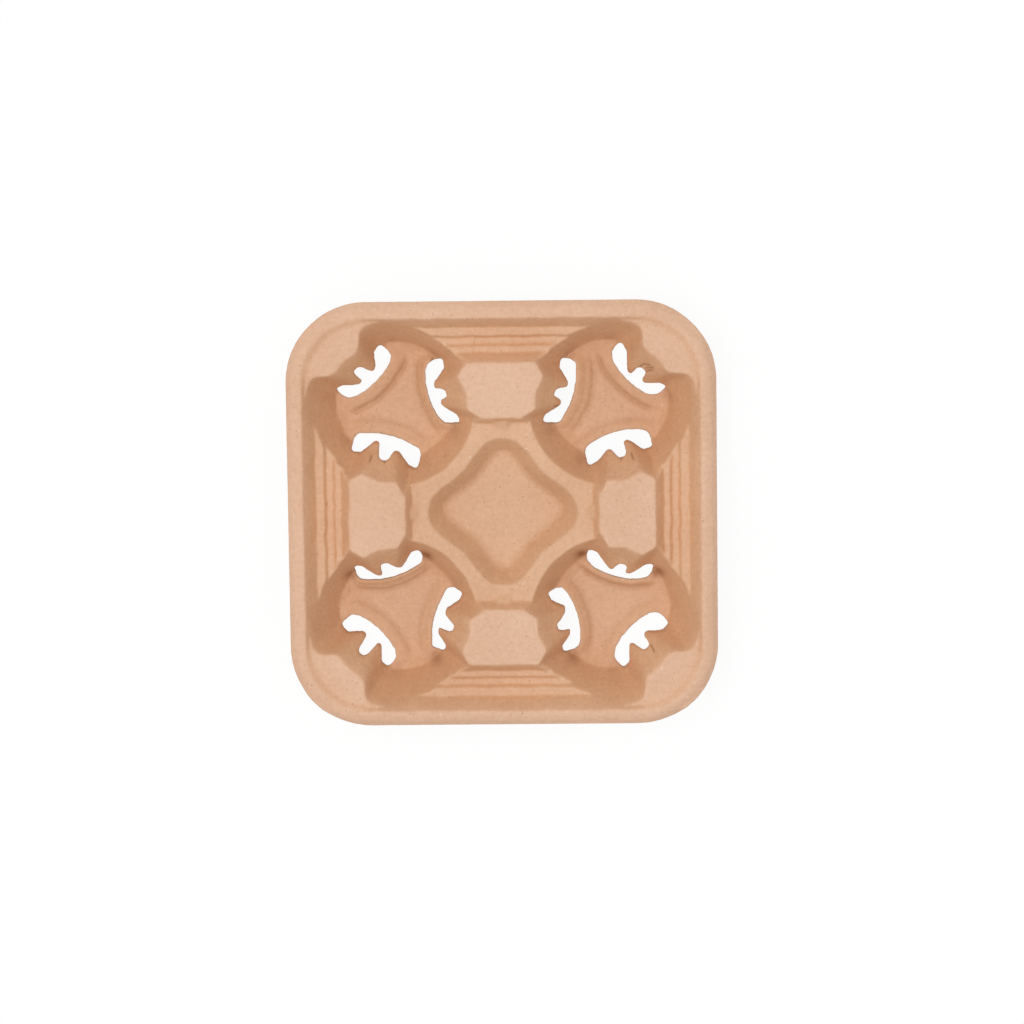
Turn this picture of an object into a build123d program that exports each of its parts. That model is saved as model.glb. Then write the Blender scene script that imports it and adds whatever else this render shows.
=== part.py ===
from build123d import *
from math import atan, atan2, cos, degrees, radians, sin, sqrt, tan
import os

# A carrier tray for four takeaway cups, moulded in one piece from paper pulp.
# The tray is one thin wall that follows the mould: a rolled rim with a free lip,
# four stepped channels between the rim and four raised pads, four cup wells, and
# a ring round a sunk diamond in the middle. Three sprung tabs lean into each well,
# and a window is left open between the foot of each tab and the well's floor.
# Millimetres, +Z up. The origin is at the centre of the base, on the table.

# Tray
tray_size = 212.0
tray_height = 36.0
wall = 1.8
corner_radius = 40.0

# Rim
rim_width = 8.4
rim_inner_drop = 1.0
rim_chamfer = 2.0
lip_drop = 5.4
lip_flare = 3.6
core_overlap = 0.25

# Levels below the top of the rim
pad_drop = 2.7
outer_tread_drop = 10.0
groove_drop = 12.4
inner_tread_drop = 10.4
ring_drop = 10.6
diamond_drop = 21.4

# Channels between the rim and the pads, measured inwards along the profile
rim_slope_run = 5.2
outer_tread_width = 4.0
outer_riser_run = 1.3
groove_width = 3.0
inner_riser_run = 1.4
inner_tread_width = 2.8
pad_riser_run = 4.2
channel_inset = 4.6

# Pads and the step from them down to the ring
pad_length = 28.0
ring_step_run = 2.8
gusset_width = 7.0
gusset_length = 4.6
gusset_rise = 2.2

# Cup wells; the floor's radius is a share of the tray's size
floor_share = 0.1344
heel_inset = 3.6
heel_height = 2.9
well_draft = 25.6
outward_shift = 2.0

# Sprung tabs
tab_reach = 20.2
tab_reach_height = 12.0
tab_lean = 33.0
tab_widening = 0.17
tab_pleat = 0.24
tab_clearance = 0.45

# Windows under the tabs, seen from above: distances out from the well's axis and to each side
window_near = 16.1
window_arc_radius = 36.5
window_arc_half_width = 15.0
window_half_width = 16.5
window_widest = 22.8
window_far = 26.8
window_end_half_width = 15.7
window_flank_angle = 49.0
notch_half_width = 2.4
tine_point = 20.5
tine_half_spacing = 5.2
tine_width = 1.9

# The raised band of floor beside each window
band_width = 8.0
band_rise = 2.5

# Diamond
ring_width = 6.0
diamond_rounding = 11.5
diamond_slope_run = 10.4
diamond_ease_run = 6.4
diamond_ease_rise = 3.6

# Places worked out from the sizes above
half = tray_size / 2
rim_inner = half - rim_width
floor_top = wall
floor_radius = floor_share * tray_size
draft = radians(well_draft)
lean_in = radians(tab_lean)
tab_angles = (45, 165, 285)


def level(drop):
    """Height of a surface that lies the given distance under the top of the rim."""
    return tray_height - drop


def wall_radius(z):
    """Mean radius of a well's straight wall at height z, before the tabs."""
    return floor_radius + (z - floor_top) * tan(draft)


# The outer lobes of a well reach the rim where the rim's inner slope begins.
mouth_radius = wall_radius(level(rim_inner_drop)) + outward_shift * cos(radians(45))
well_offset = rim_inner - mouth_radius
ring_edge = well_offset * sqrt(2) - wall_radius(level(ring_drop)) + outward_shift
diamond_apothem = ring_edge - ring_width
pad_outer = (
    rim_inner - rim_slope_run - outer_tread_width - outer_riser_run - groove_width
    - inner_riser_run - inner_tread_width - pad_riser_run
)
pad_inner = pad_outer - pad_length


def moved(profile, skin):
    """A profile of (run, height) points moved out and down by skin, its corners mitred.
    The profile runs outwards and upwards, and its first point moves straight down."""
    turns = [atan2(b[1] - a[1], b[0] - a[0]) for a, b in zip(profile, profile[1:])]
    result = []
    for (x, z), before, after in zip(profile, [0, *turns], [*turns, turns[-1]]):
        reach = skin / cos((after - before) / 2)
        middle = (before + after) / 2
        result.append((x + reach * sin(middle), z - reach * cos(middle)))
    return result


def bowl(skin):
    """The round hollow of a well: flat floor and leaning wall, with a heel on the upper face."""
    over = tray_height + wall
    profile = [(floor_radius, floor_top), (wall_radius(over), over)]
    if not skin:
        heel_top = floor_top + heel_height
        profile[:1] = [(floor_radius - heel_inset, floor_top), (wall_radius(heel_top), heel_top)]
    profile = moved(profile, skin)
    outline = Polyline((0, profile[0][1]), *profile, (0, profile[-1][1]), close=True)
    return revolve(Plane.XZ * make_face(outline), Axis.Z)


def tab_corners(z, skin):
    """A tab in plan at one height: two ridges with a valley between, and slanted flanks."""
    rise = z - tab_reach_height
    front = tab_reach + rise * tan(lean_in) + skin / cos(lean_in)
    flank_reach = sqrt(2 + (tan(lean_in) - tab_widening) ** 2)
    ridge = tine_half_spacing + rise * tab_widening + skin / cos(lean_in) - skin * flank_reach
    depth = wall_radius(tray_height)
    return [
        Vector(front + tab_pleat * ridge, 0, z),
        Vector(front, ridge, z),
        Vector(front + depth, ridge + depth, z),
        Vector(front + depth, -ridge - depth, z),
        Vector(front, -ridge, z),
    ]


def tabs(skin):
    """The three tabs of a well; nothing of a tab stands nearer than its window's near edge."""
    foot = -2 * wall
    over = tray_height + 3 * wall
    low = tab_corners(foot, skin)
    high = tab_corners(over, skin)
    outlines = [(low[i - 1], low[i], high[i], high[i - 1]) for i in range(len(low))]
    sides = [make_face(Polyline(*outline, close=True)).face() for outline in (*outlines, low, high)]
    near = window_arc_radius - tab_clearance
    arc = Pos(window_near + window_arc_radius, 0, foot) * Cylinder(
        near, over - foot, align=(Align.CENTER, Align.CENTER, Align.MIN)
    )
    tab = Solid(Shell(sides)) & arc
    return [Rot(0, 0, angle) * tab for angle in tab_angles]


def cup_well(skin):
    """The hollow of one well about its own axis, moved out and down by skin."""
    shift = outward_shift * sqrt(0.5)
    return Pos(shift, shift, 0) * bowl(skin) - tabs(skin) - floor_bands(skin)


def floor_bands(skin):
    """The three low cones that lift the floor towards the windows' near edges."""
    slope = atan2(band_rise, band_width)
    cone = Cone(
        window_arc_radius + band_width, window_arc_radius, band_rise,
        align=(Align.CENTER, Align.CENTER, Align.MIN),
    )
    lowered = floor_top - skin / cos(slope)
    cone = Pos(window_near + window_arc_radius, 0, lowered) * cone
    return [Rot(0, 0, angle) * cone for angle in tab_angles]


def window_outline():
    """A window in plan, its tab's direction along +X: a crescent with two tines let in."""
    centre = window_near + window_arc_radius
    touch = centre - sqrt(window_arc_radius**2 - window_arc_half_width**2)
    tine_outer = tine_half_spacing + tine_width / 2
    flank_run = (window_far - tine_point) / tan(radians(window_flank_angle))
    side = [
        (touch, window_arc_half_width),
        (window_widest, window_half_width),
        (window_far, window_end_half_width),
        (window_far, tine_outer + flank_run),
        (tine_point, tine_outer),
        (tine_point, tine_outer - tine_width),
        (window_far, notch_half_width),
    ]
    other_side = [(x, -y) for x, y in reversed(side)]
    near = ThreePointArc(other_side[-1], (window_near, 0), side[0])
    return make_face([near, Polyline(*side, *other_side)])


def rim_and_tub(skin):
    """The rolled rim's block with the shallow tub inside it, moved in and down by skin."""
    lean = atan(lip_flare / lip_drop)
    slope = atan(rim_slope_run / (outer_tread_drop - rim_inner_drop))
    foot = level(lip_drop) - 2 * skin
    top = tray_height - skin
    spread = 2 * skin * tan(lean) - skin / cos(lean)
    size = tray_size + 2 * spread
    outline = RectangleRounded(size, size, corner_radius + spread)
    block = Pos(0, 0, foot) * extrude(outline, top - foot, taper=degrees(lean))

    tub_floor = level(pad_drop) - skin
    reach = rim_inner - (level(rim_inner_drop) - tub_floor) * tan(slope) + skin / cos(slope)
    tub = RectangleRounded(2 * reach, 2 * reach, corner_radius - half + reach)
    block -= Pos(0, 0, tub_floor) * extrude(tub, tray_height, taper=-degrees(slope))

    if skin:
        return block
    crest = block.faces().sort_by(Axis.Z)[-1]
    return chamfer(crest.outer_wire().edges(), rim_chamfer)


def core(skin):
    """The solid under the tub, from which the wells, channels and diamond are hollowed."""
    reach = rim_inner + core_overlap * (wall + skin)
    foot = -wall - skin
    return Pos(0, 0, foot) * extrude(Rectangle(2 * reach, 2 * reach), level(lip_drop) + wall - foot)


def channel(skin):
    """The stepped channel between the rim and one pad, along X on the +Y side."""
    slope = rim_slope_run / (outer_tread_drop - rim_inner_drop)
    over = tray_height + wall
    runs = [
        (rim_inner + (over - level(rim_inner_drop)) * slope, over),
        (rim_inner - rim_slope_run, level(outer_tread_drop)),
    ]
    for run, drop in (
        (outer_tread_width, outer_tread_drop),
        (outer_riser_run, groove_drop),
        (groove_width, groove_drop),
        (inner_riser_run, inner_tread_drop),
        (inner_tread_width, inner_tread_drop),
        (pad_riser_run, pad_drop),
    ):
        runs.append((runs[-1][0] - run, level(drop)))
    runs.append((pad_outer, over))
    profile = make_face(Polyline(*runs, close=True))
    if skin:
        profile = offset(profile, skin, kind=Kind.INTERSECTION)
    length = 2 * (well_offset - channel_inset + skin)
    plane = Plane(origin=(-length / 2, 0, 0), x_dir=(0, 1, 0), z_dir=(1, 0, 0))
    return extrude(plane * profile, length)


def middle(skin):
    """The square hollow inside the pads' inner edges, down to the top of the ring."""
    slope = atan(ring_step_run / (ring_drop - pad_drop))
    foot = level(ring_drop) - skin
    reach = pad_inner - ring_step_run - skin * tan(slope) + skin / cos(slope)
    hollow = extrude(Rectangle(2 * reach, 2 * reach), tray_height, taper=-degrees(slope))
    hollow = Pos(0, 0, foot) * hollow
    for angle in (0, 90, 180, 270):
        hollow -= Rot(0, 0, angle) * gusset(skin)
    return hollow


def gusset(skin):
    """The small ramp that props the middle of one pad's inner edge, on the +Y side."""
    foot = level(ring_drop) - skin
    near = pad_inner - ring_step_run - gusset_length
    ramp = [
        (near, foot - wall),
        (near, foot),
        (near + gusset_length, foot + gusset_rise),
        (pad_inner, foot + gusset_rise),
        (pad_inner, foot - wall),
    ]
    width = gusset_width - skin
    plane = Plane(origin=(-width / 2, 0, 0), x_dir=(0, 1, 0), z_dir=(1, 0, 0))
    return extrude(plane * make_face(Polyline(*ramp, close=True)), width)


def diamond(skin):
    """The sunk diamond: its sides start steeply at the ring and ease into the floor."""
    floor = diamond_apothem - diamond_slope_run
    profile = [
        (floor, level(diamond_drop)),
        (floor + diamond_ease_run, level(diamond_drop - diamond_ease_rise)),
        (diamond_apothem, level(ring_drop)),
    ]
    profile = moved(profile, skin)
    rounding = diamond_rounding - diamond_apothem
    hollow = []
    for (near, low), (far, high) in zip(profile, profile[1:]):
        outline = RectangleRounded(2 * near, 2 * near, rounding + near)
        lean = degrees(atan2(far - near, high - low))
        hollow.append(Pos(0, 0, low) * Rot(0, 0, 45) * extrude(outline, high - low, taper=-lean))
    mouth = profile[-1][0]
    outline = RectangleRounded(2 * mouth, 2 * mouth, rounding + mouth)
    hollow.append(Pos(0, 0, profile[-1][1]) * Rot(0, 0, 45) * extrude(outline, wall))
    return hollow


def mould_face(skin):
    """Everything under the tray's upper surface, or under that surface moved by skin."""
    body = rim_and_tub(skin) + core(skin)
    well = cup_well(skin)
    for angle in (0, 90, 180, 270):
        body -= Rot(0, 0, angle) * channel(skin)
    body -= middle(skin)
    body -= diamond(skin)
    for angle in (0, 90, 180, 270):
        body -= Rot(0, 0, angle) * Pos(well_offset, well_offset, 0) * well
    return body


def windows():
    """The twelve openings, three to a well."""
    cutter = extrude(window_outline(), tray_height)
    one_well = [Rot(0, 0, angle) * cutter for angle in tab_angles]
    return [
        Rot(0, 0, quarter) * Pos(well_offset, well_offset, 0) * window
        for quarter in (0, 90, 180, 270)
        for window in one_well
    ]


def tray():
    """The pulp wall between the two faces of the mould, with its windows open."""
    return mould_face(0.0) - windows() - mould_face(wall)


os.makedirs("parts", exist_ok=True)
export_step(tray(), "parts/cup_carrier_tray.step")
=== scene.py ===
import math

import bpy
import numpy as np
from mathutils import Matrix, Vector, noise
from mathutils.bvhtree import BVHTree
from mathutils.geometry import delaunay_2d_cdt

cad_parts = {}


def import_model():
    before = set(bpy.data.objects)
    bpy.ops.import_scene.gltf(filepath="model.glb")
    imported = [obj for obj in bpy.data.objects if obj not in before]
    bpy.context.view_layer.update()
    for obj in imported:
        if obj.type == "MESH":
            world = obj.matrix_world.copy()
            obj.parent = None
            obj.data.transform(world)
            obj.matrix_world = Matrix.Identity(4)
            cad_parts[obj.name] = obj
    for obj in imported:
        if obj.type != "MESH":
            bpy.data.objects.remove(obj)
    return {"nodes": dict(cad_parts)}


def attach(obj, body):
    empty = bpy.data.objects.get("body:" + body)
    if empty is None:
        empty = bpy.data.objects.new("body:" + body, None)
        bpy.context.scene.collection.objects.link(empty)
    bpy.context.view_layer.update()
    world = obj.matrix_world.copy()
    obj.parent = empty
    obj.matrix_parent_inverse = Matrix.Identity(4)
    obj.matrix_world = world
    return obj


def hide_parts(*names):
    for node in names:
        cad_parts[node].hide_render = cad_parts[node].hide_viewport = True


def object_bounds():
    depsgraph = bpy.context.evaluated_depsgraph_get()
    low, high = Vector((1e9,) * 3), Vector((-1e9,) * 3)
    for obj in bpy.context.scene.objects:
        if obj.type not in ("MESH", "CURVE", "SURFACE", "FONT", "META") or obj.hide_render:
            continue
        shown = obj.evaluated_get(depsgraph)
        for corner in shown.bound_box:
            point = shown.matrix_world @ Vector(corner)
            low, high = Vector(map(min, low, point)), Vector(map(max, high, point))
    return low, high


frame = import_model()
cad_low, cad_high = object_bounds()

# Lengths are millimetres in the frame's axes up to the mesh, where MM turns them into metres.
MM = 0.001
NODE = "cup_carrier_tray"
SIZE = (cad_high[0] - cad_low[0]) / MM
HEIGHT = (cad_high[2] - cad_low[2]) / MM
WALL = 1.8
CORNER = 40.0
WELL = 51.786
TAB_ANGLES = (45, 165, 285)

# Heights are kept on a square raster over the tray's plan, X and Y at each of its points.
PITCH = 0.4
REACH = 108.0
COUNT = int(2 * REACH / PITCH) + 1
TICKS = -REACH + np.arange(COUNT) * PITCH
X, Y = np.meshgrid(TICKS, TICKS)
RAY_ABOVE = 60.0
RAY_BELOW = -10.0


# Tools for the rasters.
def grows(value, start, width):
    """0 up to a start, then evenly up to 1 over a width."""
    return np.clip((value - start) / width, 0, 1)


def falls(value, end, width):
    """1 until a width before an end, then evenly down to 0 at it."""
    return np.clip((end - value) / width, 0, 1)


def ridge(distance, width):
    """A smooth bump, 1 at no distance."""
    return np.exp(-((distance / width) ** 2))


def surface_of(obj):
    """A CAD node's faces in millimetres, ready for rays."""
    points = [v.co / MM for v in obj.data.vertices]
    faces = [tuple(p.vertices) for p in obj.data.polygons]
    return BVHTree.FromPolygons(points, faces)


def cast(surface, upward):
    """Heights of a surface's upper side, or of its lower one by rays going up, NaN where it is open."""
    grid = np.full((COUNT, COUNT), np.nan)
    start = RAY_BELOW if upward else RAY_ABOVE
    direction = Vector((0, 0, 1 if upward else -1))
    for row, y in enumerate(TICKS):
        for column, x in enumerate(TICKS):
            hit = surface.ray_cast(Vector((x, y, start)), direction)
            if hit[0] is not None:
                grid[row, column] = hit[0].z
    return grid


def blurred(field, sigma):
    """Gaussian blur with a radius in millimetres."""
    span = int(math.ceil(3 * sigma / PITCH))
    steps = np.arange(-span, span + 1) * PITCH
    kernel = np.exp(-0.5 * (steps / sigma) ** 2)
    kernel /= kernel.sum()
    for axis in (0, 1):
        padded = np.pad(field, [(span, span) if a == axis else (0, 0) for a in (0, 1)], mode="edge")
        total = np.zeros_like(field)
        for i, weight in enumerate(kernel):
            cut = [slice(None), slice(None)]
            cut[axis] = slice(i, i + field.shape[axis])
            total += weight * padded[tuple(cut)]
        field = total
    return field


FILL_RADII = (0.5, 1.0, 2.0, 4.0, 8.0, 16.0)
FILL_WEIGHT = 0.02


def filled(grid):
    """The raster with its open places filled from around them, wider and wider."""
    known = np.isfinite(grid)
    values = np.where(known, grid, 0.0)
    weights = known.astype(float)
    result = values.copy()
    done = known.copy()
    for sigma in FILL_RADII:
        total = blurred(values, sigma)
        weight = blurred(weights, sigma)
        reach = (weight > FILL_WEIGHT) & ~done
        result[reach] = total[reach] / weight[reach]
        done |= reach
    return result


def spline_shares(t):
    """Shares that four points in a row have in a place, t on from the second towards the third."""
    return ((1 - t) ** 3 / 6, (3 * t**3 - 6 * t**2 + 4) / 6,
            (-3 * t**3 + 3 * t**2 + 3 * t + 1) / 6, t**3 / 6)


def sample(field, points):
    """Value of a raster at an array of points, by smooth cubic splines."""
    u = np.clip((points[:, 0] + REACH) / PITCH, 2, COUNT - 4)
    v = np.clip((points[:, 1] + REACH) / PITCH, 2, COUNT - 4)
    i, j = u.astype(int), v.astype(int)
    total = np.zeros(len(points))
    for m, across in enumerate(spline_shares(u - i)):
        for n, along in enumerate(spline_shares(v - j)):
            total += across * along * field[j + n - 1, i + m - 1]
    return total


def slopes(field):
    """First and second derivatives of a raster: along x, along y, xx, yy and xy."""
    grid = np.pad(field, 1, mode="edge")
    east, west = grid[1:-1, 2:], grid[1:-1, :-2]
    north, south = grid[2:, 1:-1], grid[:-2, 1:-1]
    diagonal = grid[2:, 2:] + grid[:-2, :-2] - grid[2:, :-2] - grid[:-2, 2:]
    return ((east - west) / (2 * PITCH), (north - south) / (2 * PITCH),
            (east + west - 2 * field) / PITCH**2, (north + south - 2 * field) / PITCH**2,
            diagonal / (4 * PITCH**2))


def bending(field):
    """How sharply a surface bends, in 1/mm."""
    xx, yy, xy = slopes(field)[2:]
    return np.sqrt(xx**2 + 2 * xy**2 + yy**2)


# Corners in plan: how far they are rounded, and from where the tray's own corners start.
ROUNDING = 3.0
ROUNDING_STEP = 0.2
ROUNDING_CORNER = (46, 6)
ROUNDING_ELSEWHERE = 0.12
NEARLY_LEVEL = 1e-3


def rounded(field):
    """Rounds every level's corners in plan, most of all in the tray's corners (curvature flow)."""
    near = np.minimum(np.abs(X), np.abs(Y))
    share = np.maximum(grows(near, *ROUNDING_CORNER), ROUNDING_ELSEWHERE)
    step = ROUNDING_STEP * PITCH**2
    for _ in range(int(ROUNDING / step)):
        gx, gy, gxx, gyy, gxy = slopes(field)
        bend = gxx * gy**2 - 2 * gx * gy * gxy + gyy * gx**2
        field = field + step * share * bend / (gx**2 + gy**2 + NEARLY_LEVEL)
    return field


# The sunk diamond: |x| + |y| at its outer edge, and the heights of its slope in the CAD and here.
DIAMOND_REACH = 43.5
DIAMOND_LEVELS = (14.6, 15.95, 18.2, 23.6, 25.4)
DIAMOND_SEEN = (14.6, 16.0, 21.4, 25.2, 25.4)


def straightened(field, skin):
    """A side of the tray, a skin below its top, with the diamond's slope made even."""
    level = field + skin
    sunk = (np.abs(X) + np.abs(Y) < DIAMOND_REACH) & (level < DIAMOND_LEVELS[-1])
    return np.where(sunk, np.interp(level, DIAMOND_LEVELS, DIAMOND_SEEN) - skin, field)


# How much further out the diamond's sides lie near their ends than in their middles, to follow the
# wells' rims, how far the sides lie in as a whole, and how much further in they are at the corners.
BOW = 2.1
BOW_WIDTH = 10.0
BOW_INWARDS = 0.2
BOW_CORNER = 0.5
BOW_CORNER_START = (20, 6)
BOW_END = (35.0, 4.0)
BOW_TURN = 6


def bowed(field):
    """A side of the tray with the diamond's sides bowed inwards."""
    out = (np.abs(X) + np.abs(Y)) / math.sqrt(2)
    along = np.abs(np.abs(X) - np.abs(Y)) / math.sqrt(2)
    corner = grows(along, *BOW_CORNER_START)
    shift = BOW * (1 - ridge(along, BOW_WIDTH)) - BOW_INWARDS - BOW_CORNER * corner
    fade = falls(out, *BOW_END)
    shift = shift * fade**2 * (3 - 2 * fade) / math.sqrt(2)
    source = np.stack([X - shift * np.tanh(X / BOW_TURN), Y - shift * np.tanh(Y / BOW_TURN)], -1)
    return np.where(fade > 0, sample(field, source.reshape(-1, 2)).reshape(X.shape), field)


# The pulp beside each window: how far its crease lies from the near edge's arc, towards the well's
# axis, how deep it and a second one half as far away are, how much the band of floor between is
# bent up, and how deep the fold beyond each end is.
WINDOW_RELIEF = (
    (7.4, 1.30, 0.00, 0.0, 0.9, 0.5), (8.2, 0.70, 0.50, 2.2, 0.8, 0.8), (5.0, 0.75, 0.20, 0.0, 0.8, 0.0),
    (7.6, 1.30, 0.00, 0.4, 0.5, 0.5), (6.2, 0.75, 0.35, 0.0, 0.5, 0.5), (5.4, 0.90, 0.60, 2.4, 0.8, 0.8),
    (7.2, 0.70, 0.00, 0.0, 0.0, 0.6), (5.7, 0.70, 0.40, 0.4, 1.5, 0.4), (5.0, 1.20, 0.80, 1.0, 2.8, 1.8),
    (6.0, 0.35, 0.00, 0.0, 0.6, 0.0), (4.9, 1.50, 0.00, 0.6, 2.4, 2.8), (5.6, 0.95, 0.50, 0.7, 0.6, 1.4),
)
ARC_START = 16.1
ARC_RADIUS = 36.5
ARC_CENTRE = ARC_START + ARC_RADIUS
CREASE_WIDTH = 1.25
SECOND_WIDTH = 0.7 * CREASE_WIDTH
CREASE_REACH = 19.0
BAND_START = -2.0
FOLD_PLACE = (19.6, 23.2)
FOLD_RADIUS = 2.9
RELIEF_BLUR = 0.4

# How much painted shade a crease or a fold gets for each millimetre of its depth, and how much the
# diamond's slope gets.
CREASE_SHADE = 0.30
FOLD_SHADE = 0.40
DIAMOND_SHADE = 0.13
DIAMOND_SHADE_REACH = DIAMOND_REACH + 1.5
STEEP = (0.2, 0.6)
DARKEST = 0.95


def tab_frames():
    """The whole raster as distances along and across each of the twelve tabs."""
    for n in range(len(WINDOW_RELIEF)):
        quarter, k = divmod(n, 3)
        a = math.radians(-90 * quarter)
        u = X * math.cos(a) - Y * math.sin(a) - WELL
        v = X * math.sin(a) + Y * math.cos(a) - WELL
        b = math.radians(-TAB_ANGLES[k])
        yield u * math.cos(b) - v * math.sin(b), u * math.sin(b) + v * math.cos(b)


def window_relief():
    """Over the whole raster, how much higher the top lies than the CAD and how much painted shade it
    gets.
    """
    rise = np.zeros((COUNT, COUNT))
    painted_shade = np.zeros((COUNT, COUNT))
    for (place, first, second, bent, left, right), (along, across) in zip(WINDOW_RELIEF, tab_frames()):
        out = np.hypot(along - ARC_CENTRE, across) - ARC_RADIUS
        fade = 1 / (1 + np.exp(np.abs(across) - CREASE_REACH)) * (along < ARC_CENTRE)
        crease = fade * (first * ridge(out - place, CREASE_WIDTH)
                         + second * ridge(out - place / 2, SECOND_WIDTH))
        band = bent * fade * falls(out, place, place) * (out > BAND_START)
        folds = np.zeros((COUNT, COUNT))
        for side, depth in ((-1, left), (1, right)):
            away = np.hypot(across - side * FOLD_PLACE[0], along - FOLD_PLACE[1])
            folds += depth * ridge(away, FOLD_RADIUS)
        rise += band - crease - folds
        # Painted shade in the creases and folds.
        painted_shade += CREASE_SHADE * crease + FOLD_SHADE * folds
    return rise, painted_shade


# Where the top's folds are softer, each place as a start or an end and the width of its fading: on
# the ring's gussets, on the rim's corners and on the tabs.
SOFTNESS = 1.1
GUSSET_SHARE = 0.3
GUSSET_START = (38, 3)
GUSSET_END = (53, 3)
GUSSET_SIDE = (13, 3)
RIM_CORNER = (62, 10)
RIM_START = (4.5, 2)
RIM_END = (14, 3)
TAB_START = (17, 3)
TAB_END = (34, 5)
TAB_SIDE = (19, 4)


def inwards(points):
    """Distance in from the tray's outer outline."""
    q = np.abs(points) - (SIZE / 2 - CORNER)
    return CORNER - np.hypot(*np.maximum(q, 0).T) - np.minimum(q.max(1), 0)


def soft_places():
    """1 where the folds are softened in full and 0 where they aren't, over the whole raster."""
    far, near = np.maximum(np.abs(X), np.abs(Y)), np.minimum(np.abs(X), np.abs(Y))
    depth = inwards(np.column_stack([X.ravel(), Y.ravel()])).reshape(X.shape)
    gussets = grows(far, *GUSSET_START) * falls(far, *GUSSET_END) * falls(near, *GUSSET_SIDE)
    rim = grows(near, *RIM_CORNER) * grows(depth, *RIM_START) * falls(depth, *RIM_END)
    share = np.maximum(GUSSET_SHARE * gussets, rim)
    for along, across in tab_frames():
        tab = grows(along, *TAB_START) * falls(along, *TAB_END) * falls(np.abs(across), *TAB_SIDE)
        share = np.maximum(share, tab)
    return share


# Short cracks at the torn notches, most of them at the back right corner's, as pairs of ends.
CRACKS = (
    ((68.2, 70.8), (70.8, 73.2)), ((71.4, 70.6), (74.9, 71.4)), ((71.2, 68.6), (74.6, 69.9)),
    ((70.8, 72.8), (73.4, 72.6)), ((59.4, 27.6), (59.0, 25.0)), ((63.8, 28.2), (64.8, 25.8)),
    ((-58.8, 27.4), (-58.2, 24.8)), ((-64.6, 28.0), (-65.6, 25.8)), ((28.6, 50.8), (26.6, 51.4)),
    ((72.8, -68.6), (74.4, -71.0)),
)
CRACK_DEPTH = 0.8
CRACK_WIDTH = 0.45


def cracks():
    """1 along the cracks and 0 away from them, over the whole raster."""
    total = np.zeros((COUNT, COUNT))
    for (x0, y0), (x1, y1) in CRACKS:
        length = math.hypot(x1 - x0, y1 - y0)
        share = np.clip(((X - x0) * (x1 - x0) + (Y - y0) * (y1 - y0)) / length**2, 0, 1)
        away = np.hypot(X - x0 - share * (x1 - x0), Y - y0 - share * (y1 - y0))
        total = np.maximum(total, ridge(away, CRACK_WIDTH))
    return total


# How much each side is smoothed, the underside more than the top, and the map of fine detail.
TOP_BLUR = 0.32
UNDERSIDE_BLUR = 0.70
BEND_BLUR = 0.5


def side_field(surface, upward):
    """The CAD's top or underside as a raster, with the pulp's softer and rounder forms."""
    field = blurred(filled(cast(surface, upward)), UNDERSIDE_BLUR if upward else TOP_BLUR)
    return rounded(bowed(straightened(field, WALL if upward else 0.0)))


def tray_fields():
    """Rasters of the top's height, the underside's height, the painted shade in hollows, and where
    detail is fine.
    """
    surface = surface_of(frame["nodes"][NODE])
    top = side_field(surface, False)
    underside = side_field(surface, True)
    soft = soft_places()
    top = top * (1 - soft) + blurred(top, SOFTNESS) * soft
    rise, painted_shade = window_relief()
    crack = cracks()
    top = top + blurred(rise, RELIEF_BLUR) - CRACK_DEPTH * crack
    steepness = grows(np.hypot(*slopes(top)[:2]), *STEEP)
    # Painted shade on the diamond's slope and in the cracks.
    painted_shade += DIAMOND_SHADE * steepness * (np.abs(X) + np.abs(Y) < DIAMOND_SHADE_REACH)
    painted_shade = np.clip(blurred(painted_shade, RELIEF_BLUR) + crack, 0, DARKEST)
    bend = np.maximum(blurred(bending(top), BEND_BLUR), crack)
    return top, underside, painted_shade, bend


# Outlines in plan.
def turned(points, degrees):
    """Points turned about the origin."""
    a = math.radians(degrees)
    turn = np.array([[math.cos(a), -math.sin(a)], [math.sin(a), math.cos(a)]])
    return np.asarray(points) @ turn.T


def resampled(points, step):
    """A closed loop's points at even steps."""
    loop = np.vstack([points, points[:1]])
    lengths = np.r_[0, np.cumsum(np.hypot(*np.diff(loop, axis=0).T))]
    n = int(round(lengths[-1] / step))
    at = np.arange(n) * lengths[-1] / n
    return np.stack([np.interp(at, lengths, loop[:, k]) for k in (0, 1)], 1)


def eased(points):
    """A closed loop with its corners taken down a little."""
    return 0.5 * points + 0.25 * (np.roll(points, 1, 0) + np.roll(points, -1, 0))


def grown(loop, amount):
    """A clockwise loop moved outwards."""
    along = np.roll(loop, -1, 0) - np.roll(loop, 1, 0)
    out = np.column_stack([-along[:, 1], along[:, 0]])
    return loop + amount * out / np.linalg.norm(out, axis=1)[:, None]


NOISE_GAP = 57.3


def wobble(points, amount, scale, seed):
    """Points moved by smooth noise, the same in every run."""
    moved = points.copy()
    for i, (x, y) in enumerate(points):
        for axis, level in enumerate((seed, seed + NOISE_GAP)):
            moved[i, axis] += amount * noise.noise(Vector((x / scale, y / scale, level)))
    return moved


CORNER_POINTS = 31
RIM_STEP = 0.95
RIM_WOBBLE = (0.12, 3.0, 5.0)


def rim_loop():
    """The tray's outer outline, anticlockwise."""
    straight = SIZE / 2 - CORNER
    points = []
    for k, (sx, sy) in enumerate(((1, 1), (-1, 1), (-1, -1), (1, -1))):
        for a in np.radians(np.linspace(0, 90, CORNER_POINTS)) + k * math.pi / 2:
            points.append((sx * straight + CORNER * math.cos(a), sy * straight + CORNER * math.sin(a)))
    loop = wobble(resampled(np.array(points), RIM_STEP), *RIM_WOBBLE)
    return np.clip(loop, -SIZE / 2, SIZE / 2)


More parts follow.
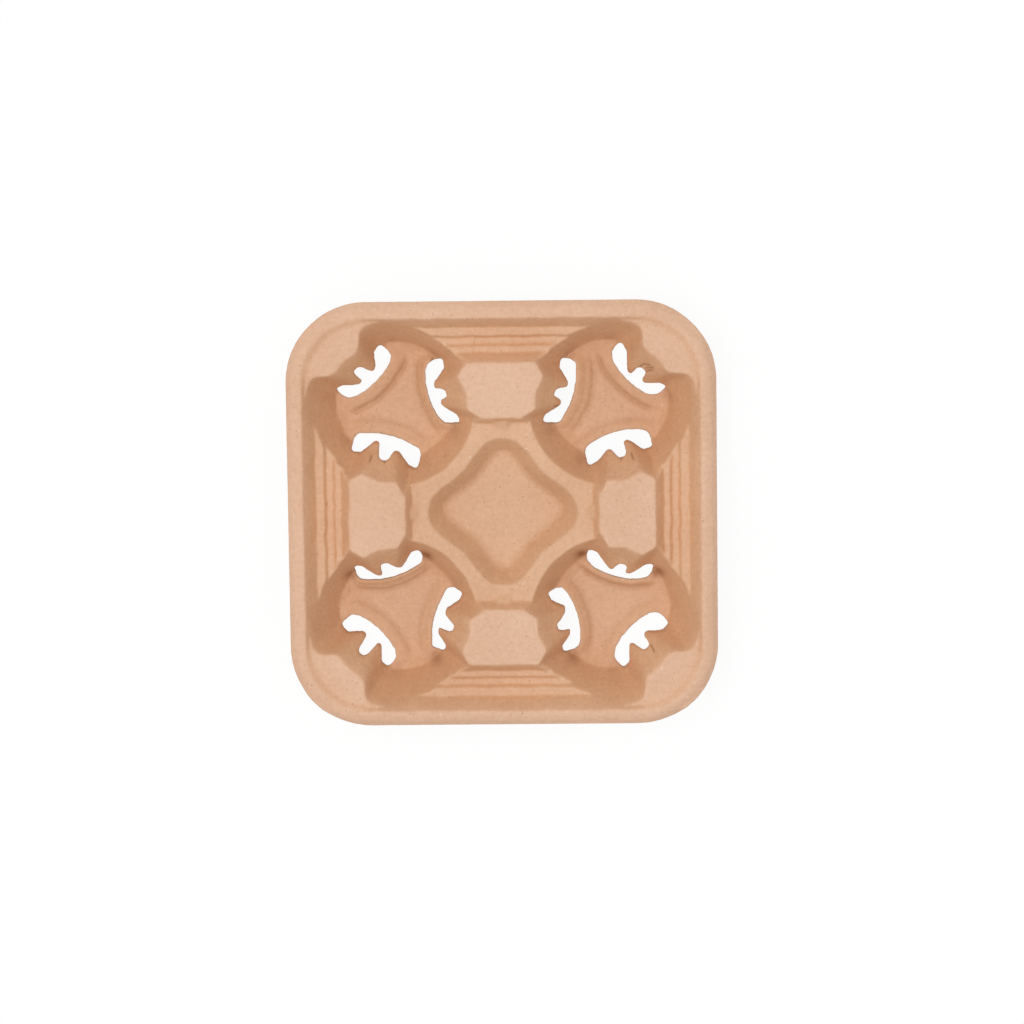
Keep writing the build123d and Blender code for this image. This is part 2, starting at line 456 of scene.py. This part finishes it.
# The twelve windows, no two alike: how far out from the well's axis the near edge lies, and then
# (across, out) of the left lobe, the left tine's tip, the notch's end, the right tine's tip and the
# right lobe, each seen along its tab. Three rows a well, the wells in turn from the back right one.
WINDOWS = (
    (15.1, (-15.8, 26.1), (-5.4, 20.2), (-0.5, 25.6), (2.4, 17.9), (16.0, 26.2)),
    (17.1, (-16.0, 27.0), (-4.4, 20.6), (0.0, 26.1), (5.0, 21.5), (16.7, 28.0)),
    (16.2, (-17.0, 27.6), (-4.8, 22.1), (0.6, 26.7), (4.2, 20.2), (16.0, 27.5)),
    (15.8, (-15.3, 27.2), (-4.6, 20.5), (0.0, 28.0), (4.6, 20.7), (16.4, 26.9)),
    (16.9, (-16.8, 28.0), (-5.4, 20.1), (-0.3, 27.1), (4.9, 21.8), (17.0, 28.1)),
    (15.8, (-16.3, 27.2), (-4.4, 20.8), (0.2, 25.2), (4.6, 19.8), (16.2, 27.4)),
    (15.8, (-15.8, 26.8), (-4.8, 20.5), (0.0, 28.0), (4.5, 19.6), (15.9, 25.9)),
    (17.2, (-15.4, 26.0), (-4.8, 20.1), (-0.4, 27.3), (5.2, 21.2), (16.9, 27.2)),
    (16.7, (-17.2, 27.1), (-6.0, 21.0), (0.6, 26.5), (5.0, 19.5), (16.8, 27.2)),
    (15.5, (-16.8, 26.9), (-5.0, 20.2), (0.4, 26.5), (4.2, 21.2), (15.4, 26.9)),
    (15.7, (-16.4, 26.4), (-4.8, 19.4), (-0.9, 24.8), (3.9, 19.6), (16.8, 26.5)),
    (16.3, (-16.0, 26.6), (-5.6, 20.4), (0.9, 26.2), (5.7, 21.1), (16.2, 27.3)),
)

# What the windows share: how far across the near edge ends and how far it lies from its arc
# towards the well's axis, the lobe's near corner on a window whose lobe is the usual distance
# across, how far out the lobe is widest, and then steps (across, out) from the lobe's end, the
# tine's tip and the notch's end.
NEAR_END = 12.0
NEAR_MIDDLE_INSET = 0.1
NEAR_END_INSET = 0.2
LOBE_CORNER = (15.2, 19.8)
LOBE_ACROSS = 16
LOBE_SIDE = 22.6
LOBE_STEPS = ((0.0, -0.6), (-0.9, 0.2), (-4.4, -0.3))
TINE_STEPS = ((1.5, 0.5), (0.0, 0.0), (-1.4, 0.6))
NOTCH_STEPS = ((2.5, -1.8), (1.5, -0.1))
WINDOW_STEP = 0.7
WINDOW_GROWTH = 0.25
WINDOW_WOBBLE = (0.22, 1.6)
WINDOW_SEED = 11.0


def window_side(near, lobe, tine, notch, side):
    """Corners of one half of a window, from the middle of the near edge to the notch's end."""
    sag = ARC_RADIUS - math.sqrt(ARC_RADIUS**2 - NEAR_END**2)
    corners = [(0, near),
               (NEAR_END / 2, near + sag / 4 - NEAR_MIDDLE_INSET),
               (NEAR_END, near + sag - NEAR_END_INSET),
               (LOBE_CORNER[0] + (side * lobe[0] - LOBE_ACROSS) / 2, LOBE_CORNER[1]),
               (side * lobe[0], LOBE_SIDE)]
    for (across, out), steps in ((lobe, LOBE_STEPS), (tine, TINE_STEPS), (notch, NOTCH_STEPS)):
        corners += [(side * across + step_across, out + step_out) for step_across, step_out in steps]
    return [(out, side * across) for across, out in corners]


def window_outline(near, left_lobe, left_tine, notch, right_tine, right_lobe):
    """One window in plan, its tab's direction along +X, clockwise."""
    right = window_side(near, right_lobe, right_tine, notch, 1)
    left = window_side(near, left_lobe, left_tine, notch, -1)
    return np.array(right + [(notch[1], notch[0])] + left[:0:-1])


def window_loops():
    """All twelve windows in the tray's plan, clockwise."""
    loops = []
    for n, row in enumerate(WINDOWS):
        quarter, k = divmod(n, 3)
        shape = eased(resampled(window_outline(*row), WINDOW_STEP))
        placed = grown(turned(turned(shape, TAB_ANGLES[k]) + WELL, quarter * 90), WINDOW_GROWTH)
        loops.append(wobble(placed, *WINDOW_WOBBLE, WINDOW_SEED + n))
    return loops


# Triangles in plan.
COARSE = 1.2
FINE = 0.54
UNDERSIDE_PITCH = 2.0
FINE_BEND = 0.5
CLEARANCE = 0.45
SAME_POINT = 1e-7


def inside(points, loop):
    """Which points lie inside a closed loop."""
    x, y = points[:, 0], points[:, 1]
    result = np.zeros(len(points), bool)
    low, high = loop.min(0), loop.max(0)
    near = np.flatnonzero((x >= low[0]) & (x <= high[0]) & (y >= low[1]) & (y <= high[1]))
    px, py = x[near], y[near]
    odd = np.zeros(len(near), bool)
    for (x0, y0), (x1, y1) in zip(loop, np.roll(loop, -1, 0)):
        crosses = (y0 > py) != (y1 > py)
        with np.errstate(divide="ignore", invalid="ignore"):
            at = (x1 - x0) * (py - y0) / (y1 - y0) + x0
        odd ^= crosses & (px < at)
    result[near] = odd
    return result


def clear_of(points, loop):
    """The points that aren't close to a loop's own points."""
    low, high = loop.min(0) - CLEARANCE, loop.max(0) + CLEARANCE
    near = np.flatnonzero(((points >= low) & (points <= high)).all(1))
    gap = np.full(len(near), np.inf)
    for corner in loop:
        gap = np.minimum(gap, np.hypot(*(points[near] - corner).T))
    keep = np.ones(len(points), bool)
    keep[near[gap < CLEARANCE]] = False
    return points[keep]


def hexagonal(pitch):
    """Points over the tray's square in rows of even triangles."""
    columns = np.arange(-SIZE / 2, SIZE / 2 + pitch, pitch)
    rows = []
    for i, y in enumerate(np.arange(-SIZE / 2, SIZE / 2 + pitch, pitch * math.sqrt(0.75))):
        shift = pitch / 2 if i % 2 else 0
        rows.append(np.column_stack([columns + shift, np.full(len(columns), y)]))
    return np.concatenate(rows)


def points_over(pitch, bend):
    """Points over the tray, finer where the top bends if a raster of its bending is given."""
    points = hexagonal(pitch)
    if bend is None:
        return points
    detail = hexagonal(FINE)
    return np.concatenate([points[sample(bend, points) < FINE_BEND],
                           detail[sample(bend, detail) >= FINE_BEND]])


def on_pulp(points, rim, windows):
    """Which points lie on the pulp, inside the rim and in no window."""
    keep = inside(points, rim)
    for loop in windows:
        keep &= ~inside(points, loop)
    return keep


def triangulated(rim, windows, pitch, bend=None):
    """Points and triangles over the tray in plan, and the points along the rim and each window."""
    loops = [rim, *windows]
    inner = points_over(pitch, bend)
    for loop in loops:
        inner = clear_of(inner, loop)
    points = [Vector(p) for p in np.concatenate([*loops, inner[on_pulp(inner, rim, windows)]])]
    edges = []
    borders = []
    start = 0
    for loop in loops:
        border = list(range(start, start + len(loop)))
        edges += zip(border, border[1:] + border[:1])
        borders.append(border)
        start += len(loop)
    found, _, faces, sources, *_ = delaunay_2d_cdt(points, edges, [], 0, SAME_POINT, True)
    found = np.array([tuple(v) for v in found])
    faces = np.array([tuple(f) for f in faces])
    place = {source[0]: i for i, source in enumerate(sources) if source}
    faces = faces[on_pulp(found[faces].mean(1), rim, windows)]
    return found, faces, [[place[i] for i in border] for border in borders]


# The tray's mesh.
SURFACE_WOBBLE = (0.5, 8.0, 3.0)
EDGE_DROP = 0.35
LEAST_TOP = 0.8
LEAST_WALL = 0.9
WALL_SHARES = (0.25, 0.75)
# Painted shade on steep slopes starts this far in from the outer outline and fades in over the width.
STEEP_SHADE_INSET = (6, 3)


def linked(name, data):
    """A new object in the scene."""
    obj = bpy.data.objects.new(name, data)
    bpy.context.scene.collection.objects.link(obj)
    return obj


def walls(top, low, top_borders, low_borders):
    """Points and triangles of the walls that join the top to the underside along each border."""
    points = []
    faces = []
    count = len(top) + len(low)
    for upper, lower in zip(top_borders, low_borders):
        rows = [np.array(upper)]
        for share in WALL_SHARES:
            z = top[upper, 2] * (1 - share) + low[lower, 2] * share
            points.append(np.column_stack([top[upper, :2], z]))
            rows.append(np.arange(count, count + len(upper)))
            count += len(upper)
        rows.append(np.array(lower) + len(top))
        for first, second in zip(rows, rows[1:]):
            first_next, second_next = np.roll(first, -1), np.roll(second, -1)
            faces.append(np.column_stack([first, second, second_next]))
            faces.append(np.column_stack([first, second_next, first_next]))
    return np.concatenate(points), np.concatenate(faces)


def tray_piece():
    """The tray as one closed piece: its top, its underside, and walls round the rim and the windows."""
    top_field, underside_field, painted_shade_field, bend_field = tray_fields()
    rim = rim_loop()
    windows = window_loops()
    top_xy, top_faces, top_borders = triangulated(rim, windows, COARSE, bend_field)
    low_xy, low_faces, low_borders = triangulated(rim, windows, UNDERSIDE_PITCH)
    top_place, low_place = wobble(top_xy, *SURFACE_WOBBLE), wobble(low_xy, *SURFACE_WOBBLE)
    top_z = sample(top_field, top_place)
    for border in top_borders:
        top_z[border] -= EDGE_DROP
    top = np.column_stack([top_xy, np.clip(top_z, LEAST_TOP, HEIGHT)])
    low_z = np.minimum(sample(underside_field, low_place), sample(top_field, low_xy) - LEAST_WALL)
    low = np.column_stack([low_xy, np.maximum(low_z, 0)])
    wall_points, wall_faces = walls(top, low, top_borders, low_borders)
    points = np.concatenate([top, low, wall_points])
    faces = np.concatenate([top_faces, low_faces[:, ::-1] + len(top), wall_faces])

    mesh = bpy.data.meshes.new("pulp_tray")
    mesh.from_pydata((points * MM).tolist(), [], faces.tolist())
    mesh.update()
    mesh.polygons.foreach_set("use_smooth", [True] * len(mesh.polygons))
    # Painted shade shares kept at the vertices: steep slopes away from the rim, then creases, folds,
    # cracks and the diamond's slope.
    steep_shade_share = grows(inwards(points[:, :2]), *STEEP_SHADE_INSET)
    # Painted shade in creases, folds, cracks and on the diamond's slope.
    painted_shade_share = np.zeros(len(points))
    painted_shade_share[:len(top)] = sample(painted_shade_field, top_place)
    for name, values in (("steep_shade_share", steep_shade_share), ("painted_shade_share", painted_shade_share)):
        mesh.attributes.new(name, "FLOAT", "POINT").data.foreach_set("value", values)
    mesh.materials.append(pulp())
    return linked("pulp_tray", mesh)


# Nodes for the materials and the world.
def feed(tree, socket, value):
    """Gives a socket another socket's value or a plain one."""
    if isinstance(value, bpy.types.NodeSocket):
        tree.links.new(value, socket)
    else:
        socket.default_value = value


def maths(tree, operation, *values):
    """A sum or a function of sockets and numbers."""
    node = tree.nodes.new("ShaderNodeMath")
    node.operation = operation
    for socket, value in zip(node.inputs, values):
        feed(tree, socket, value)
    return node.outputs[0]


def stretched(tree, value, low, high, to_low=0.0, to_high=1.0):
    """A range of values stretched over another range."""
    node = tree.nodes.new("ShaderNodeMapRange")
    names = ("Value", "From Min", "From Max", "To Min", "To Max")
    for name, number in zip(names, (value, low, high, to_low, to_high)):
        feed(tree, node.inputs[name], number)
    return node.outputs["Result"]


def cloud(tree, where, kind, levels):
    """Noise of a kind, its range of levels stretched over 0 to 1."""
    node = tree.nodes.new("ShaderNodeTexNoise")
    names = ("Vector", "Scale", "Detail", "Roughness", "Distortion")
    for name, value in zip(names, (where, *kind)):
        feed(tree, node.inputs[name], value)
    return stretched(tree, node.outputs["Fac"], *levels)


def mixed(tree, factor, first, second, blend="MIX"):
    """Two colours mixed by a factor."""
    node = tree.nodes.new("ShaderNodeMix")
    node.data_type = "RGBA"
    node.blend_type = blend
    for index, value in ((0, factor), (6, first), (7, second)):
        feed(tree, node.inputs[index], value)
    return node.outputs[2]


def tinted(tree, factor, colour, tint):
    """A colour multiplied by a tint as far as a factor says."""
    return mixed(tree, factor, colour, mixed(tree, 1.0, colour, tint, "MULTIPLY"))


def attribute(tree, name):
    """A value kept at the mesh's vertices."""
    node = tree.nodes.new("ShaderNodeAttribute")
    node.attribute_name = name
    return node.outputs["Fac"]


def height_part(tree, vector):
    """A vector's Z."""
    node = tree.nodes.new("ShaderNodeSeparateXYZ")
    tree.links.new(vector, node.inputs[0])
    return node.outputs["Z"]


# Moulded pulp: linear colours, angles in radians, levels in metres, each noise as its scale in 1/m,
# detail, roughness and distortion, and under it the range of its values that is used.
ROUGHNESS = 0.92
SPECULAR = 0.25
BASE_NOISE = (22, 3, 0.6, 0.0)
BASE_RANGE = (0.35, 0.65)
PULP_DARK = (0.750, 0.468, 0.312, 1)
PULP_PALE = (0.795, 0.512, 0.350, 1)
MOTTLE_NOISE = (420, 4, 0.65, 0.0)
MOTTLE_RANGE = (0.30, 0.70)
MOTTLE_DARK = (0.94, 0.92, 0.90, 1)
MOTTLE_PALE = (1.05, 1.06, 1.08, 1)
# Painted shade: steep slopes darker and redder, standing in for the light they miss.
STEEP_SHADE_TINT = (0.955, 0.905, 0.81, 1)
STEEP_SHADE_ANGLES = (0.06, 1.0)
# Painted shade in creases, folds, cracks and on the diamond's slope.
PAINTED_SHADE_TINT = (0.52, 0.40, 0.31, 1)
# Painted shade lower down, in the tray's hollows.
DEPTH_SHADE_TINT = (0.97, 0.94, 0.88, 1)
DEPTH_SHADE_LEVELS = (0.027, 0.033)
DARK_FIBRE_NOISE = (900, 2, 0.5, 1.5)
DARK_FIBRE_RANGE = (0.66, 0.74)
DARK_FIBRE = (0.42, 0.24, 0.15, 1)
PALE_FIBRE_NOISE = (760, 2, 0.5, 2.0)
PALE_FIBRE_RANGE = (0.68, 0.76)
PALE_FIBRE = (0.93, 0.72, 0.56, 1)
GRAIN_NOISE = (1300, 5, 0.7, 0.6)
LUMP_NOISE = (300, 3, 0.5, 0.0)
BUMP_RANGE = (0.2, 0.8)
BUMP_STRENGTH = 0.35
BUMP_DISTANCE = 0.00014


def pulp_colour(tree, where):
    """Mottled pulp with dark and pale fibres, and painted shade on steep slopes, in creases and low
    down.
    """
    base = mixed(tree, cloud(tree, where, BASE_NOISE, BASE_RANGE), PULP_DARK, PULP_PALE)
    mottle = mixed(tree, cloud(tree, where, MOTTLE_NOISE, MOTTLE_RANGE), MOTTLE_DARK, MOTTLE_PALE)
    colour = mixed(tree, 1.0, base, mottle, "MULTIPLY")
    normal = tree.nodes.new("ShaderNodeNewGeometry").outputs["True Normal"]
    angle = maths(tree, "ARCCOSINE", maths(tree, "ABSOLUTE", height_part(tree, normal)))
    # Painted shade on steep slopes, away from the outer rim.
    steep_shade = maths(tree, "MULTIPLY", stretched(tree, angle, *STEEP_SHADE_ANGLES), attribute(tree, "steep_shade_share"))
    colour = tinted(tree, steep_shade, colour, STEEP_SHADE_TINT)
    # Painted shade in creases, folds, cracks and on the diamond's slope.
    colour = tinted(tree, attribute(tree, "painted_shade_share"), colour, PAINTED_SHADE_TINT)
    # Painted shade lower down, in the tray's hollows.
    deep_shade = stretched(tree, height_part(tree, where), *DEPTH_SHADE_LEVELS, 1.0, 0.0)
    colour = tinted(tree, deep_shade, colour, DEPTH_SHADE_TINT)
    colour = mixed(tree, cloud(tree, where, DARK_FIBRE_NOISE, DARK_FIBRE_RANGE), colour, DARK_FIBRE)
    return mixed(tree, cloud(tree, where, PALE_FIBRE_NOISE, PALE_FIBRE_RANGE), colour, PALE_FIBRE)


def pulp_bump(tree, where):
    """The fibres' fine grain, on coarser lumps."""
    grain = cloud(tree, where, GRAIN_NOISE, BUMP_RANGE)
    lumps = cloud(tree, where, LUMP_NOISE, BUMP_RANGE)
    bump = tree.nodes.new("ShaderNodeBump")
    feed(tree, bump.inputs["Strength"], BUMP_STRENGTH)
    feed(tree, bump.inputs["Distance"], BUMP_DISTANCE)
    feed(tree, bump.inputs["Height"], maths(tree, "ADD", grain, lumps))
    return bump.outputs["Normal"]


def pulp():
    """The tray's material."""
    material = bpy.data.materials.new("moulded_pulp")
    material.use_nodes = True
    tree = material.node_tree
    shader = tree.nodes["Principled BSDF"]
    where = tree.nodes.new("ShaderNodeTexCoord").outputs["Object"]
    feed(tree, shader.inputs["Roughness"], ROUGHNESS)
    feed(tree, shader.inputs["Specular IOR Level"], SPECULAR)
    feed(tree, shader.inputs["Base Color"], pulp_colour(tree, where))
    feed(tree, shader.inputs["Normal"], pulp_bump(tree, where))
    return material


# Studio, in metres, degrees and watts, with the camera's sensor and lens in millimetres.
FLOOR_HALF = 6
FLOOR_LEVEL = -0.0001
FLOOR_COLOUR = (0.9, 0.9, 0.9, 1)
FLOOR_GLOW = 1.02
FLOOR_GLOW_SHARE = 0.90
WHITE = (1, 1, 1, 1)
SKY_STRENGTH = 0.60
KEY_PLACE = (-0.60, 0.55, 3.3)
KEY_SIZE = 1.8
KEY_POWER = 45
CAMERA_TURN = (9.2927, -1.1818, 0.7388)
CAMERA_DISTANCE = 2.554
CAMERA_FAR = 50
SENSOR = 36
LENS = 179.596
LENS_SHIFT = (0.00805, -0.00797)


def emptied(owner):
    """A material's or a world's node tree with nothing in it."""
    owner.use_nodes = True
    owner.node_tree.nodes.clear()
    return owner.node_tree


def seen(tree):
    """1 for rays from the camera, or through gloss and glass, and 0 for light."""
    path = tree.nodes.new("ShaderNodeLightPath")
    total = path.outputs["Is Camera Ray"]
    for name in ("Is Glossy Ray", "Is Transmission Ray"):
        total = maths(tree, "MAXIMUM", total, path.outputs[name])
    return total


def two_shaders(tree, share, first, second, output):
    """Mixes two shaders by a share and gives them to an output."""
    mix = tree.nodes.new("ShaderNodeMixShader")
    for socket, value in zip(mix.inputs, (share, first, second)):
        feed(tree, socket, value)
    tree.links.new(mix.outputs[0], tree.nodes.new(output).inputs["Surface"])


def plain_shader(tree, kind, colour, strength=None):
    """A shader of one colour, with a strength if it gives light."""
    node = tree.nodes.new(kind)
    feed(tree, node.inputs["Color"], colour)
    if strength is not None:
        feed(tree, node.inputs["Strength"], strength)
    return node.outputs[0]


def floor():
    """A pale floor that takes the tray's shadow and looks nearly white to the camera."""
    mesh = bpy.data.meshes.new("floor")
    signs = ((-1, -1), (1, -1), (1, 1), (-1, 1))
    corners = [(x * FLOOR_HALF, y * FLOOR_HALF, FLOOR_LEVEL) for x, y in signs]
    mesh.from_pydata(corners, [], [(0, 1, 2, 3)])
    material = bpy.data.materials.new("studio_floor")
    tree = emptied(material)
    plain = plain_shader(tree, "ShaderNodeBsdfDiffuse", FLOOR_COLOUR)
    bright = plain_shader(tree, "ShaderNodeEmission", WHITE, FLOOR_GLOW)
    share = maths(tree, "MULTIPLY", seen(tree), FLOOR_GLOW_SHARE)
    two_shaders(tree, share, plain, bright, "ShaderNodeOutputMaterial")
    mesh.materials.append(material)
    obj = linked("floor", mesh)


def world():
    """Even light from all round, white where the camera sees it."""
    bpy.context.scene.world = bpy.data.worlds.new("studio")
    tree = emptied(bpy.context.scene.world)
    light = plain_shader(tree, "ShaderNodeBackground", WHITE, SKY_STRENGTH)
    white = plain_shader(tree, "ShaderNodeBackground", WHITE, 1.0)
    two_shaders(tree, seen(tree), light, white, "ShaderNodeOutputWorld")


def key_light():
    """A large round lamp turned towards the tray."""
    data = bpy.data.lights.new("key", "AREA")
    data.shape = "DISK"
    data.size = KEY_SIZE
    data.energy = KEY_POWER
    obj = linked("key", data)
    obj.location = KEY_PLACE
    obj.rotation_euler = (-Vector(KEY_PLACE)).to_track_quat("-Z", "Y").to_euler()


def camera():
    """The photograph's camera, by turns about X, Y and Z that bring the tray into its view."""
    rx, ry, rz = (math.radians(a) for a in CAMERA_TURN)
    turn = Matrix.Rotation(rx, 3, "X") @ Matrix.Rotation(ry, 3, "Y") @ Matrix.Rotation(rz, 3, "Z")
    away = turn.transposed() @ Vector((0, 0, CAMERA_DISTANCE))
    data = bpy.data.cameras.new("camera")
    data.sensor_width = SENSOR
    data.lens = LENS
    data.shift_x, data.shift_y = LENS_SHIFT
    data.clip_end = CAMERA_FAR
    obj = linked("camera", data)
    obj.matrix_world = Matrix.Translation(away) @ turn.transposed().to_4x4()
    bpy.context.scene.camera = obj


tray = tray_piece()
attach(tray, "root")
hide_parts(NODE)
floor()
world()
key_light()
camera()
bpy.context.scene.view_settings.view_transform = "Standard"
